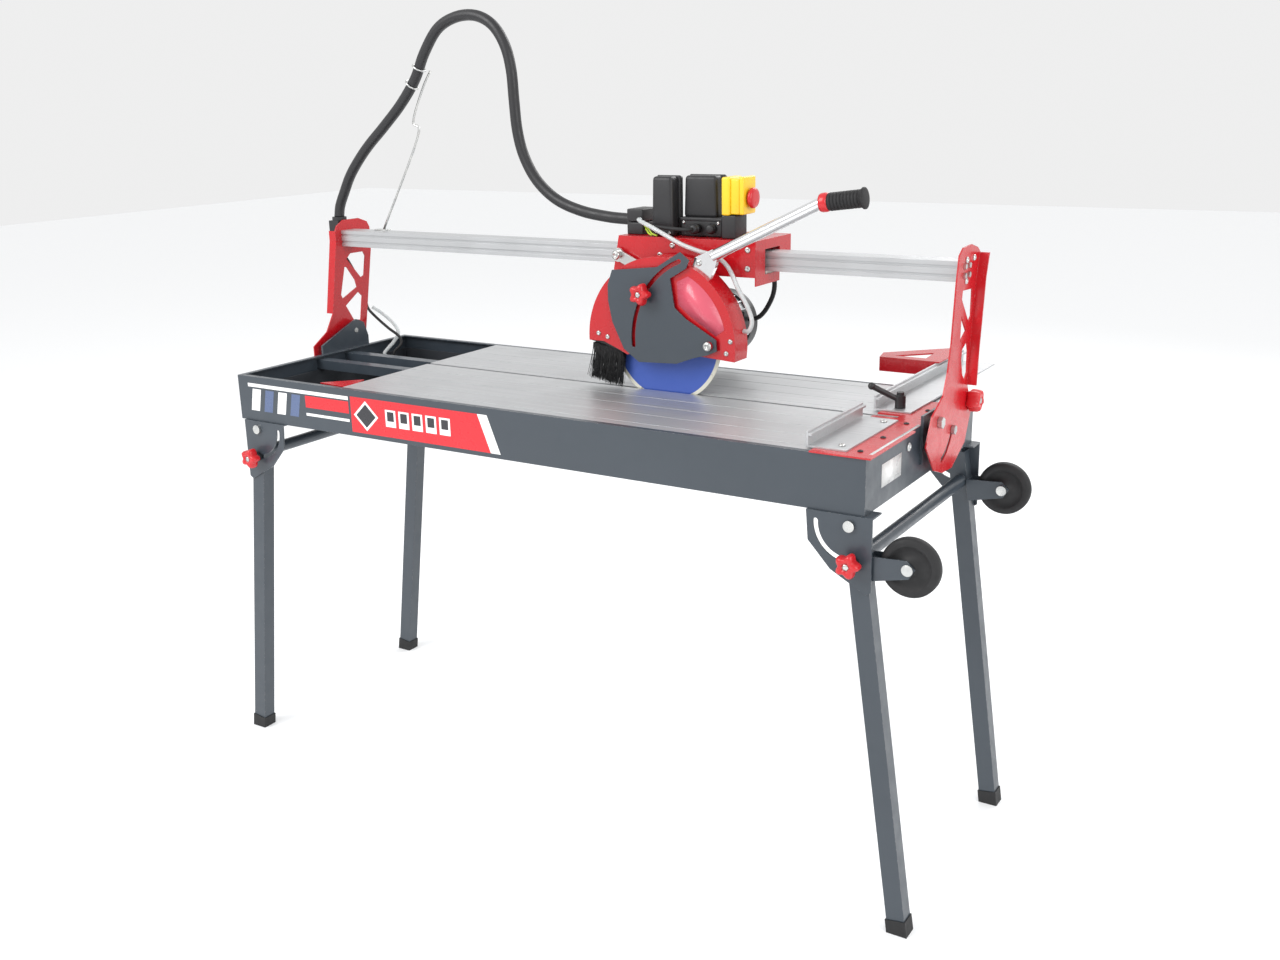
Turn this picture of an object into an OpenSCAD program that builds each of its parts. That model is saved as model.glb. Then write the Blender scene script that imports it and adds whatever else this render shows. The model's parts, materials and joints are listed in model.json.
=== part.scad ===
/* [Table and tray] */
// Length of the tray
tray_length = 1485; // [1450:5:1520]
// Width of the tray
tray_width = 546; // [520:2:570]
// Height of the table's top face above the floor
table_height = 872; // [860:1:885]
// Depth of the folded tray wall
tray_depth = 99; // [92:1:105]
// Thickness of the folded tray sheet
sheet = 3; // [2:0.5:3]
// Where the table plates start, from the tray's left end
table_start = 305; // [280:5:330]
// Gap between the two table plates that the blade runs in
slot_width = 10; // [9:0.5:12]
// Thickness of the table plates
plate_thick = 8; // [7:0.5:9]

/* [Legs and wheels] */
// How far the legs lean outwards, in degrees
leg_splay = 8; // [7:0.5:9]
// Leg section along the tray
leg_width = 34; // [32:1:35]
// Leg section across the tray
leg_depth = 30; // [26:1:32]
// Transport wheel radius
wheel_r = 52; // [46:1:54]
// Transport wheel width
wheel_width = 22; // [18:1:23]
// Radius of the star knobs
knob_r = 24; // [20:1:26]

/* [Bridge] */
// Depth of the beam section, front to back
beam_depth = 48; // [44:1:50]
// Height of the beam section
beam_height = 37; // [34:1:38]
// Height of the beam's underside above the floor
beam_bottom = 1113; // [1110:1:1116]
// Flange width of the two towers
tower_flange = 18; // [14:1:20]
// Outer diameter of the cable conduit
conduit_d = 24; // [20:1:26]

/* [Cutting head] */
// Blade radius
blade_r = 125; // [115:1:125]
// Blade thickness
blade_thick = 2.4; // [1.6:0.2:2.6]
// Outer radius of the blade guard
guard_r = 169; // [166:1:170]
// Motor casing radius over its fins
motor_r = 71; // [68:1:72]
// Diameter of the lever's tube
lever_d = 22; // [18:1:24]

/* [Hidden] */
$fn = 48;
gap = 0.3;
run = 0.05;
tray_bottom = table_height - tray_depth;
plate_bottom = table_height - plate_thick;
lip = 12;
foot_lip = 25;
slot_y = 288;
tub_top = 840;
rail_top = plate_bottom;
rail_height = 22;
rail_width = 26;
front_rail_y = 236;
rear_rail_y = 330;

leg_pivot_z = tray_bottom - 18;
left_pivot_x = 53;
right_pivot_x = tray_length - 24;
leg_inner = 14;
leg_outer = leg_width - leg_inner;
leg_front = -1.5;
leg_length = leg_pivot_z / cos(leg_splay);
leg_wall = 2;
cap_wall = 2;
cap_floor = 14;
cap_height = 14;
stud_radius = 62;
stud_r = 4;
bracket_y = -5;
bracket_thick = 3;
cross_r = 13;
axle_local = [-91.3, -76.4];
axle_r = 6;
fork_inner = wheel_width / 2 + 3;
wheel_y = 18.7;
wheel_hub_r = 18;

tower_left_x = -20;
tower_right_x = tray_length + 17;
tower_thick = 3;
beam_front = 374;
beam_top = beam_bottom + beam_height;
lock_arc_r = 80;
lock_angle = 22;

blade_x = 935.5;
blade_z = 975.5;
pivot_x = 808;
pivot_z = 1137;
guard_front_y = 262;
guard_back_y = 313;
guard_wall = 3;
brush_y0 = 265;
brush_y1 = 285;
head_plate = 5;
head_back = guard_back_y + head_plate;
motor_front = head_back;
cap_start = 520;
cap_back = 550;
motor_core_r = 65;
cover_pivot = [1050.6, 979.3];
cover_slot_r = 172.5;
cover_y = 254;
cover_thick = 3;
cover_stud_angle = 147;
lever_start = [1050, 275, 1150];
lever_end = [1274, 275, 1256];
lever_tilt = atan2(lever_end[2] - lever_start[2], lever_end[0] - lever_start[0]);
panel_y = 325;
panel_thick = 3;
deck_top = 1175;
deck_thick = 3;
deck_back = 480;
roller_r = 10;
roller_axle_r = 4;
roller_x_left = 830;
roller_x_right = 1090;
roller_top_z = beam_top + gap + roller_r;

fence_x = 1370;
fence_base_top = table_height + 3;
fence_top = fence_base_top + 28;
fence_back = 810;
stop_y = 643;
lever_clamp = [1412, 338];

knob_depth = 22;
knob_spacer = 12;
leftmost = left_pivot_x - leg_pivot_z * tan(leg_splay) - (leg_outer + cap_wall) / cos(leg_splay);
rightmost = right_pivot_x - axle_local[0] * cos(leg_splay) - axle_local[1] * sin(leg_splay) + wheel_r;
frontmost = bracket_y - gap - knob_spacer - knob_depth;
centre_x = (leftmost + rightmost) / 2;
centre_y = (frontmost + fence_back) / 2;

// Hand-chosen points of the conduit, in x and z, at conduit_y
conduit_y = 395;
conduit_points = [[-42, 1180], [-36, 1205], [-20, 1235], [10, 1283], [62, 1338], [125, 1390],
    [180, 1438], [226, 1490], [258, 1545], [300, 1594], [352, 1616], [407, 1617], [452, 1596],
    [482, 1555], [496, 1504], [500, 1442], [505, 1380], [520, 1326], [552, 1275], [602, 1236],
    [665, 1214], [730, 1204], [780, 1201], [818, 1201]];
wire_points = [[78, 1151], [203, 1363], [193, 1398], [227, 1469], [253, 1507]];
wire_hooks = [[227, 1469], [253, 1507]];
pump_hose_points = [[-28, 468, 952], [-8, 480, 936], [22, 486, 912], [40, 482, 890], [42, 462, 872],
    [42, 442, 860], [42, 426, 850], [42, 424, 837]];
pump_cable_points = [[-53, 400, 1106], [-52, 404, 1096], [-46, 424, 1060], [-38, 446, 1010], [-34, 453, 972],
    [-28, 454, 950], [-6, 456, 930], [28, 460, 905], [60, 462, 886], [68, 458, 868],
    [60, 442, 852], [58, 440, 837]];
water_hose_points = [[841, 348.6, 1206], [843, 340, 1206], [858, 328, 1203], [886, 318, 1195], [920, 312, 1182],
    [960, 306, 1166], [1002, 304, 1154], [1040, 304, 1146], [1068, 304, 1124],
    [1090, 303, 1084], [1110, 302, 1052], [1120, 301, 1026], [1114.8, 300, 1007.4],
    [1102.2, 300, 1005.1]];
motor_lead_points = [[1060, 440, 1128], [1078, 446, 1112], [1092, 452, 1086], [1088, 458, 1056],
    [1070, 468, 1026], [1050, 480, 1006], [1032, 490, 996], [1014.5, 494, 992]];
motor_lead_r = 5;

// Basic shapes and helpers

module placed() {
    translate([-centre_x, -centre_y, 0]) children();
}

module box(low, high) {
    translate(low) cube(high - low);
}

// Extrudes an outline drawn in x and z between two y values
module xz(y0, y1) {
    translate([0, y1, 0]) rotate([90, 0, 0]) linear_extrude(y1 - y0) children();
}

// Extrudes an outline drawn in y and z between two x values
module yz(x0, x1) {
    translate([x0, 0, 0]) rotate([90, 0, 90]) linear_extrude(x1 - x0) children();
}

// A round bar along x, y or z from a start point
module bar_x(p, r, len) {
    translate(p) rotate([0, 90, 0]) cylinder(r = r, h = len);
}

module bar_y(p, r, len) {
    translate(p) rotate([-90, 0, 0]) cylinder(r = r, h = len);
}

module bar_z(p, r, len) {
    translate(p) cylinder(r = r, h = len);
}

function unit(v) = v / norm(v);
function tangent(p, i) = unit(p[min(i + 1, len(p) - 1)] - p[max(i - 1, 0)]);
function side_dir(p, i, ref) = unit(cross(tangent(p, i), ref));
function ring(p, i, r, ref, sides) = [for (k = [0:sides - 1])
    let(a = 360 * k / sides, n = side_dir(p, i, ref), b = cross(tangent(p, i), n))
    p[i] + r * cos(a) * n + r * sin(a) * b];

// A flexible cord swept along its points, closed at both ends
module cord(p, r, ref, sides) {
    count = len(p);
    walls = [for (i = [0:count - 2]) for (k = [0:sides - 1])
        [i * sides + k, (i + 1) * sides + k, (i + 1) * sides + (k + 1) % sides, i * sides + (k + 1) % sides]];
    start = [for (k = [0:sides - 1]) k];
    finish = [for (k = [0:sides - 1]) (count - 1) * sides + sides - 1 - k];
    polyhedron(points = [for (i = [0:count - 1]) each ring(p, i, r, ref, sides)],
        faces = concat(walls, [start], [finish]));
}

// An arc slot about the origin, between two angles
module arc_slot(radius, half, from, to) {
    steps = 24;
    outer = [for (i = [0:steps]) let(a = from + (to - from) * i / steps) (radius + half) * [cos(a), sin(a)]];
    inner = [for (i = [0:steps]) let(a = to + (from - to) * i / steps) (radius - half) * [cos(a), sin(a)]];
    far_end = [for (b = [30:30:150]) radius * [cos(to), sin(to)] + half * [cos(to + b), sin(to + b)]];
    near_end = [for (b = [210:30:330]) radius * [cos(from), sin(from)] + half * [cos(from + b), sin(from + b)]];
    polygon(concat(outer, far_end, inner, near_end));
}

// A star knob pointing along +z, with a metal-threaded bore for its stud
module star_knob(r, depth, stud) {
    difference() {
        union() {
            cylinder(r = r * 0.78, h = depth);
            for (a = [0:72:288]) rotate(a) translate([r * 0.72, 0, 0]) cylinder(r = r * 0.28, h = depth * 0.85);
        }
        translate([0, 0, -1]) cylinder(r = stud + run, h = depth * 0.6 + 1);
    }
}

// Tray and table

module tray_frame() {
    color("darkslategray") placed() difference() {
        union() {
            difference() {
                box([0, 0, tray_bottom], [tray_length, tray_width, table_height]);
                box([sheet, sheet, tray_bottom - 1], [tray_length - sheet, tray_width - sheet, table_height + 1]);
            }
            difference() {
                box([0, 0, table_height - sheet], [tray_length, tray_width, table_height]);
                box([lip, lip, tray_bottom], [tray_length - lip, tray_width - lip, table_height + 1]);
            }
            difference() {
                box([0, 0, tray_bottom], [tray_length, tray_width, tray_bottom + sheet]);
                box([foot_lip, foot_lip, 0], [tray_length - foot_lip, tray_width - foot_lip, table_height]);
            }
        }
        bar_x([tray_length - 5, 192, 847], 4, 10);
        bar_x([tray_length - 5, 268, 853], 4, 10);
    }
}

module water_tub() {
    color("dimgray") placed() difference() {
        box([6, 6, tray_bottom + sheet], [tray_length - 6, tray_width - 6, tub_top]);
        box([8, 8, tray_bottom + sheet + 2], [tray_length - 8, tray_width - 8, tub_top + 1]);
    }
}

// An upright channel rail under the table plates, with its open side facing the middle
module inner_rail(y0) {
    placed() difference() {
        box([sheet, y0, rail_top - rail_height], [tray_length - sheet, y0 + rail_width, rail_top]);
        box([0, y0 + 2, rail_top - rail_height - 1], [tray_length, y0 + rail_width - 2, rail_top - 2]);
    }
}

module inner_rails() {
    color("darkslategray") {
        inner_rail(front_rail_y);
        inner_rail(rear_rail_y);
    }
}

// Table plate with lengthwise ribs standing on a thinner web
module table_plate(y0, y1) {
    pitch = 62;
    placed() difference() {
        box([table_start, y0, plate_bottom], [tray_length - lip, y1, table_height]);
        for (y = [y0 + 22:pitch:y1 - 20])
            box([table_start - 1, y, table_height - 1.5], [tray_length, y + 2, table_height + 1]);
    }
}

module table_plate_front() {
    color("lightgray") table_plate(lip, slot_y - slot_width / 2);
}

module table_plate_rear() {
    back = tray_width - lip;
    near = slot_y + slot_width / 2;
    color("lightgray") difference() {
        table_plate(near, back);
        placed() yz(table_start - 1, tray_length)
            polygon([[near - 1, table_height - 1.5], [near + 7.5, plate_bottom - 1], [near - 1, plate_bottom - 1]]);
    }
}

module bay_plate() {
    floor_z = tray_bottom + sheet + 2;
    color("red") placed() {
        translate([0, 0, 849]) linear_extrude(3) polygon([[158, 92], [225, 160], [255, 83]]);
        box([205, 100, floor_z], [208, 124, 849]);
        box([205, 100, floor_z], [228, 124, floor_z + 3]);
    }
}

module leg_bracket_shape() {
    polygon([[-40, 18], [80, 18], [76, -36], [34, -82], [-32, -118], [-41, -112]]);
}

// One bracket outside the front wall, with its web under the tray
module leg_bracket() {
    translate([0, 0, leg_pivot_z]) {
        difference() {
            translate([0, bracket_y, 0]) xz(0, bracket_thick) leg_bracket_shape();
            translate([0, bracket_y, 0]) xz(-1, bracket_thick + 1) arc_slot(stud_radius, stud_r + 0.5, 261.5, 360.5);
            bar_y([0, bracket_y - 1, 0], 6 + run, 6);
        }
        box([-40, bracket_y, 15], [80, 36, 18]);
    }
}

// Repeats its children on the rear side of the tray
module both_sides() {
    children();
    translate([0, tray_width, 0]) mirror([0, 1, 0]) children();
}

module tilt_bracket_shape() {
    polygon([[262, 800], [262, 891], [364, 932], [381, 937], [405, 927], [418, 892], [418, 800]]);
}

module tray_brackets() {
    color("slategray") placed() {
        both_sides() {
            translate([left_pivot_x, 0, 0]) leg_bracket();
            translate([right_pivot_x, 0, 0]) mirror([1, 0, 0]) leg_bracket();
        }
        difference() {
            yz(-5, 0) tilt_bracket_shape();
            bar_x([-9, 378, 910], 6, 12);
        }
        yz(tray_length, tray_length + 5)
            polygon([[250, 800], [250, 890], [326, 890], [385, 862], [385, 800]]);
    }
}

module tilt_bolt(x0, x1, y, z, r) {
    bar_x([x0, y, z], r, x1 - x0);
}

module tray_bolts() {
    left_out = tower_left_x - tower_thick;
    right_out = tower_right_x + tower_thick;
    lock_y = slot_y + lock_arc_r * cos(lock_angle);
    lock_z = table_height - lock_arc_r * sin(lock_angle);
    color("gray") placed() {
        tilt_bolt(left_out - 8, -5, slot_y, table_height, 6);
        translate([left_out - 9, slot_y, table_height]) rotate([0, 90, 0]) cylinder(r = 11, h = 8.5, $fn = 6);
        tilt_bolt(-18.5, -5, slot_y, table_height, 10);
        tilt_bolt(tray_length + 5, right_out + 8, slot_y, table_height, 6);
        tilt_bolt(tray_length + 5, tower_right_x - 0.5, slot_y, table_height, 10);
        translate([right_out + 0.5, slot_y, table_height]) rotate([0, 90, 0]) cylinder(r = 11, h = 8.5, $fn = 6);
        tilt_bolt(tray_length + 5, right_out + 8, lock_y, lock_z, 5);
        tilt_bolt(tray_length + 5, tower_right_x - 0.5, lock_y, lock_z, 9);
        translate([right_out + 0.5, lock_y, lock_z]) rotate([0, 90, 0]) cylinder(r = 9, h = 7, $fn = 6);
        translate([-11, 378, 910]) rotate([0, 90, 0]) cylinder(r = 10, h = 6, $fn = 6);
        bar_x([-6, 378, 910], 6, 6);
        both_sides() {
            translate([left_pivot_x, 0, leg_pivot_z]) leg_bolt();
            translate([right_pivot_x, 0, leg_pivot_z]) leg_bolt();
        }
    }
}

module pump() {
    base_z = tray_bottom + sheet + 2;
    color("black") placed() {
        box([22, 420, base_z], [84, 506, base_z + 14]);
        bar_z([53, 463, base_z + 14], 27, 26);
        bar_z([42, 424, base_z + 14], 6, 44);
        box([36, 424, base_z + 14], [48, 440, base_z + 34]);
        bar_z([58, 440, base_z + 14], 5.5, 44);
    }
}

module pump_hose() {
    color("lightcyan") placed() cord(pump_hose_points, 4.5, [1, 0, 0], 10);
}

module pump_cable() {
    color("black") placed() cord(pump_cable_points, 3.5, [1, 0, 0], 8);
}

// Fence

module fence_base() {
    slot_x = fence_x + 60;
    color("red") placed() difference() {
        box([fence_x + 14, -4, table_height], [tray_length + 9, 425, fence_base_top]);
        box([fence_x, 276, table_height - 1], [slot_x, 298, fence_base_top + 1]);
        box([lever_clamp[0] - 4.5, lever_clamp[1] - 5, 0], [lever_clamp[0] + 4.5, lever_clamp[1] + 66, 2000]);
        box([tray_length, 200, table_height - 1], [tray_length + 10, 430, fence_base_top + 1]);
    }
}

// Angled bar with a low tile-facing wall and a flat foot
module fence_bar(y0, y1, foot, bottom) {
    box([fence_x, y0, bottom], [fence_x + 4, y1, fence_top]);
    box([fence_x + 4, y0, bottom], [fence_x + foot, y1, bottom + 3]);
    box([fence_x + 4, y0, fence_top - 8], [fence_x + 10, y1, fence_top - 4]);
}

module fence_front() {
    color("silver") placed() {
        fence_bar(15, 250, 73, fence_base_top);
    }
}

module fence_rear() {
    color("silver") placed() difference() {
        fence_bar(312, fence_back, 73, fence_base_top + gap);
        bar_z([lever_clamp[0], lever_clamp[1], table_height], 4 + run, 10);
    }
}

module fence_lever() {
    low = fence_base_top + gap + 3 + gap;
    color("black") placed() translate([lever_clamp[0], lever_clamp[1], 0]) {
        translate([0, 0, table_height + gap]) cylinder(r = 4, h = 12);
        translate([0, 0, low]) cylinder(r = 10, h = 24);
        translate([0, 0, low + 24]) cylinder(r = 7, h = 6);
        translate([0, 0, low + 14]) rotate([0, -62, 35]) cylinder(r = 5.5, h = 62);
        translate([0, 0, low + 14]) rotate([0, -62, 35]) translate([0, 0, 62]) sphere(r = 7);
    }
}

module tile_stop() {
    color("red") placed() {
        difference() {
            translate([0, 0, fence_top + gap]) linear_extrude(3)
                polygon([[1247, stop_y], [fence_x + 8, stop_y], [fence_x + 8, 702], [1352, 800], [1237, 690]]);
            translate([0, 0, fence_top - 5]) linear_extrude(20)
                polygon([[1270, 668], [1340, 668], [1336, 730]]);
        }
        box([1247, stop_y, fence_base_top + 1], [fence_x - gap, stop_y + 3, fence_top + gap + 3]);
        box([fence_x - gap - 3, stop_y, fence_top - 14], [fence_x - gap, stop_y + 58, fence_top + gap]);
    }
}

// Legs and wheels

// The pivot ends of one leg, drawn at the origin and leaning along -z
module leg_tube() {
    difference() {
        union() {
            box([-leg_outer, leg_front, cap_floor - leg_length], [leg_inner, leg_front + leg_depth, 0]);
            bar_y([0, leg_front, 0], leg_inner, leg_depth);
        }
        box([leg_wall - leg_outer, leg_front + leg_wall, -leg_length],
            [leg_inner - leg_wall, leg_front + leg_depth - leg_wall, -30]);
        bar_y([0, leg_front - 1, 0], 6 + run, leg_depth + 2);
        bar_y([0, leg_front - 1, -stud_radius], stud_r + run, 16);
    }
}

module leg_cap() {
    difference() {
        box([-leg_outer - cap_wall, leg_front - cap_wall, -leg_length - 20],
            [leg_inner + cap_wall, leg_front + leg_depth + cap_wall, cap_floor + cap_height - leg_length]);
        box([-leg_outer, leg_front, cap_floor - leg_length], [leg_inner, leg_front + leg_depth, 0]);
    }
}

module on_left() {
    translate([left_pivot_x, 0, leg_pivot_z]) rotate([0, leg_splay, 0]) children();
}

module on_right() {
    translate([right_pivot_x, 0, leg_pivot_z]) mirror([1, 0, 0]) rotate([0, leg_splay, 0]) children();
}

module floor_cut() {
    difference() {
        children();
        box([-400, -200, -200], [tray_length + 400, tray_width + 200, 0]);
    }
}

module left_legs() {
    color("slategray") placed() {
        both_sides() on_left() leg_tube();
        on_left() cross_tube();
    }
}

module left_feet() {
    color("black") placed() floor_cut() both_sides() on_left() leg_cap();
}

module cross_tube() {
    inner = leg_front + leg_depth;
    difference() {
        bar_y([-6, inner, -59], cross_r, tray_width - 2 * inner);
        bar_y([-6, inner - 1, -59], cross_r - 2, tray_width);
    }
}

module right_legs() {
    color("slategray") placed() {
        both_sides() on_right() {
            leg_tube();
            wheel_fork();
        }
        on_right() cross_tube();
    }
}

module right_feet() {
    color("black") placed() floor_cut() both_sides() on_right() leg_cap();
}

// Pivot bolt through a bracket and its leg
module leg_bolt() {
    bar_y([0, bracket_y, 0], 6, leg_depth + 8);
    bar_y([0, bracket_y - 6, 0], 10, 6);
}

// Threaded stud fixed in the leg, that the star knob turns on
module leg_stud() {
    bar_y([0, bracket_y - 22, -stud_radius], stud_r, 22 - bracket_y + 8);
}

module left_leg_bolts() {
    color("silver") placed() both_sides() on_left() leg_stud();
}

module right_leg_bolts() {
    color("silver") placed() both_sides() on_right() {
        leg_stud();
        wheel_axle();
    }
}

module leg_knob() {
    translate([0, bracket_y - gap, -stud_radius]) rotate([90, 0, 0]) {
        difference() {
            cylinder(r = 11, h = knob_spacer);
            translate([0, 0, -1]) cylinder(r = stud_r + run, h = knob_spacer + 2);
        }
        translate([0, 0, knob_spacer]) star_knob(knob_r, knob_depth, stud_r);
    }
}

module leg_knob_lf() {
    color("red") placed() on_left() leg_knob();
}

module leg_knob_lr() {
    color("red") placed() translate([0, tray_width, 0]) mirror([0, 1, 0]) on_left() leg_knob();
}

module leg_knob_rf() {
    color("red") placed() on_right() leg_knob();
}

module leg_knob_rr() {
    color("red") placed() translate([0, tray_width, 0]) mirror([0, 1, 0]) on_right() leg_knob();
}

// Two cheeks and a bridge holding one wheel, welded to the outer face of the leg
module wheel_fork() {
    ax = axle_local[0];
    az = axle_local[1];
    difference() {
        union() {
            for (s = [-1, 1]) translate([0, wheel_y + s * (fork_inner + 1.5) - 1.5, 0]) xz(0, 3)
                polygon([[-leg_outer, az + 22], [ax, az + 16], [ax - 13, az], [ax, az - 16], [-leg_outer, az - 22]]);
            box([-leg_outer - 3, wheel_y - fork_inner, az - 22], [-leg_outer, wheel_y + fork_inner, az + 22]);
        }
        bar_y([ax, wheel_y - 60, az], axle_r + run, 120);
    }
}

module wheel_axle() {
    ax = axle_local[0];
    az = axle_local[1];
    bar_y([ax, wheel_y - fork_inner - 6, az], axle_r, 2 * fork_inner + 12);
    bar_y([ax, wheel_y - fork_inner - 6.3, az], 10, 3.3);
    bar_y([ax, wheel_y + fork_inner + 3.5, az], 10, 6.5);
}

module wheel() {
    ax = axle_local[0];
    az = axle_local[1];
    half = wheel_width / 2;
    translate([ax, wheel_y - half, az]) rotate([-90, 0, 0]) difference() {
        rotate_extrude() polygon([[axle_r + run, 0], [wheel_hub_r, 0], [wheel_hub_r, 5], [wheel_r - 14, 5], [wheel_r - 12, 1],
            [wheel_r - 3, 1], [wheel_r, 5], [wheel_r, wheel_width - 5], [wheel_r - 3, wheel_width - 1],
            [wheel_r - 12, wheel_width - 1], [wheel_r - 14, wheel_width - 5], [wheel_hub_r, wheel_width - 5],
            [wheel_hub_r, wheel_width], [axle_r + run, wheel_width]]);
    }
}

module wheel_front() {
    color("black") placed() on_right() wheel();
}

module wheel_rear() {
    color("black") placed() translate([0, tray_width, 0]) mirror([0, 1, 0]) on_right() wheel();
}

// Bridge

module hole_at(p, r) {
    translate(p) circle(r = r, $fn = 24);
}

module tower_left() {
    x0 = tower_left_x - tower_thick;
    color("red") placed() {
        difference() {
            yz(x0, tower_left_x) difference() {
                polygon([[355, 1126], [325, 957], [300, 917], [254, 889], [254, 858], [275, 846], [310, 846],
                    [372, 880], [431, 893], [452, 1000], [472, 1101], [472, 1150], [464, 1164], [436, 1174],
                    [384, 1174], [362, 1162], [355, 1150]]);
                polygon([[385, 1081], [399, 1093], [443, 1093], [449, 1081], [440, 1036], [429, 1031]]);
                polygon([[376, 1063], [384, 1061], [408, 1028], [413, 1010], [362, 988], [357, 998]]);
                polygon([[415, 998], [370, 970], [393, 933], [417, 929], [428, 986]]);
                hole_at([slot_y, table_height], 6 + run);
            }
            bar_x([x0 - 1, 378, 910], 12, 30);
        }
        yz(x0 - tower_flange, x0) polygon([[355, 1126], [325, 957], [328, 957], [358, 1126], [358, 1150], [355, 1150]]);
        box([x0 - 24, 372, 1105], [x0, 412, 1108]);
    }
}

module tower_right() {
    x1 = tower_right_x + tower_thick;
    color("red") placed() {
        yz(tower_right_x, x1) difference() {
            polygon([[361, 1162], [352, 1115], [339, 1005], [326, 955], [308, 917], [254, 889], [227, 839],
                [275, 784], [319, 769], [372, 766], [440, 800], [470, 860], [440, 912], [445, 976], [464, 1113],
                [478, 1156], [461, 1167], [425, 1176], [381, 1174]]);
            polygon([[384, 1080], [387, 1096], [441, 1093], [441, 1042], [428, 1032]]);
            polygon([[386, 1050], [416, 1018], [385, 1001]]);
            polygon([[425, 998], [398, 985], [396, 967], [406, 937], [422, 922], [434, 937], [433, 979]]);
            hole_at([slot_y, table_height], 6 + run);
            hole_at([452, 882], 5 + run);
            translate([slot_y, table_height]) arc_slot(lock_arc_r, 5.5, 288.5, 338.5);
        }
        yz(x1, x1 + tower_flange) polygon([[437, 912], [440, 912], [445, 976], [464, 1113], [478, 1156],
            [474, 1156], [461, 1113], [442, 976]]);
    }
}

module beam_shape() {
    t = 3;
    f = beam_front;
    b = beam_front + beam_depth;
    difference() {
        polygon([[f, beam_bottom], [b, beam_bottom], [b, beam_top], [f, beam_top], [f, beam_top - 8],
            [f + 3, beam_top - 8], [f + 3, beam_top - 13], [f, beam_top - 13], [f, beam_bottom + 13],
            [f + 3, beam_bottom + 13], [f + 3, beam_bottom + 8], [f, beam_bottom + 8]]);
        translate([f + 6, beam_bottom + t]) square([beam_depth - 9, beam_height - 2 * t]);
    }
}

module beam() {
    color("silver") placed() yz(tower_left_x, tower_right_x) beam_shape();
}

module bridge_bolts() {
    color("gray") placed() {
        bar_x([tower_right_x - 8, 452, 882], 5, 25);
        translate([tower_right_x - 8, 452, 882]) rotate([0, 90, 0]) cylinder(r = 10, h = 8, $fn = 6);
        for (z = [1123, 1140]) for (y = [387, 410]) {
            translate([tower_left_x - tower_thick - 5, y, z]) rotate([0, 90, 0]) cylinder(r = 5.5, h = 5, $fn = 6);
            translate([tower_right_x + tower_thick, y, z]) rotate([0, 90, 0]) cylinder(r = 5.5, h = 5, $fn = 6);
        }
    }
}

module conduit_socket() {
    color("black") placed() difference() {
        union() {
            box([-59, 376, 1108], [-28.5, 414, 1172]);
            bar_z([-42, conduit_y, 1172], 17, 8);
        }
        bar_z([-42, conduit_y, 1168], conduit_d / 2 + 0.5, 20);
    }
}

module conduit() {
    points = [for (p = conduit_points) [p[0], conduit_y, p[1]]];
    color("black") placed() cord(points, conduit_d / 2, [0, 1, 0], 12);
}

module wire_support() {
    points = [for (p = wire_points) [p[0], conduit_y + 22, p[1]]];
    color("silver") placed() {
        cord(points, 3, [0, 1, 0], 8);
        box([60, beam_front + 30, beam_top], [96, beam_front + beam_depth, beam_top + 3]);
        for (p = wire_hooks) bar_y([p[0], conduit_y - 17, p[1]], 2.5, 40);
    }
}

module tilt_knob() {
    color("red") placed() translate([tower_right_x + tower_thick + gap, 452, 882]) rotate([0, 90, 0]) star_knob(knob_r, 25, 5);
}

// Carriage

module carriage() {
    color("red") placed() {
        xz(panel_y, panel_y + panel_thick)
            polygon([[802, 1168], [781, 1062], [850, 1062], [880, 1105], [1115, 1105], [1115, deck_top - deck_thick],
                [803, deck_top - deck_thick]]);
        box([803, panel_y, deck_top - deck_thick], [1115, deck_back, deck_top]);
        box([803, deck_back - 3, 1105], [1115, deck_back, deck_top - deck_thick]);
        for (x = [803, 1112]) difference() {
            box([x, panel_y + panel_thick, 1088], [x + 3, deck_back - 3, deck_top - deck_thick]);
            box([x - 1, 366, 1107], [x + 4, 430, 1156]);
            box([x - 1, 430, 1080], [x + 4, deck_back, 1105]);
        }
    }
}

// Axles, pivot screw and the other fixed pins of the carriage
module carriage_pins() {
    color("silver") placed() {
        for (x = [roller_x_left, roller_x_right]) 
            bar_y([x, panel_y + panel_thick, roller_top_z], roller_axle_r, deck_back - 3 - panel_y - panel_thick);
        bar_y([pivot_x, guard_back_y - 0.5 - gap, pivot_z], 5, panel_y - guard_back_y + 0.5 + gap);
        bar_y([pivot_x, guard_back_y - 8, pivot_z], 9, 7.5);
        bar_y([pivot_x, head_back + gap, pivot_z], 9, panel_y - head_back - gap);
    }
}

module roller(x, z) {
    translate([x, beam_front + 2, z]) rotate([-90, 0, 0]) difference() {
        cylinder(r = roller_r, h = beam_depth - 4);
        translate([0, 0, -1]) cylinder(r = roller_axle_r + run, h = beam_depth);
    }
}

module top_roller_l() {
    color("dimgray") placed() roller(roller_x_left, roller_top_z);
}

module top_roller_r() {
    color("dimgray") placed() roller(roller_x_right, roller_top_z);
}

// Low-friction pads under the beam that stop the carriage lifting off
module beam_pads() {
    color("whitesmoke") placed() for (x = [806, 1088]) box([x, 376, 1098], [x + 24, 420, beam_bottom - gap]);
}

module electric_boxes() {
    color("black") placed() {
        box([872, 340, deck_top], [924, 386, 1293]);
        box([930, 358, deck_top], [1024, 438, 1211]);
        box([931, 368, 1211], [1010, 414, 1294]);
        box([1030, 344, deck_top], [1062, 392, 1220]);
        bar_y([970, 334, 1192], 9, 24);
        bar_y([1002, 344, 1192], 9, 14);
        difference() {
            box([808, 350, deck_top], [846, 412, 1226]);
            bar_x([804, conduit_y, 1201], conduit_d / 2 + 0.5, 16);
        }
    }
}

module switch_body() {
    color("yellow") placed() difference() {
        box([1032, 340, 1220], [1070, 396, 1293]);
        bar_x([1060, 368, 1275], 8 + gap, 12);
    }
}

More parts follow.
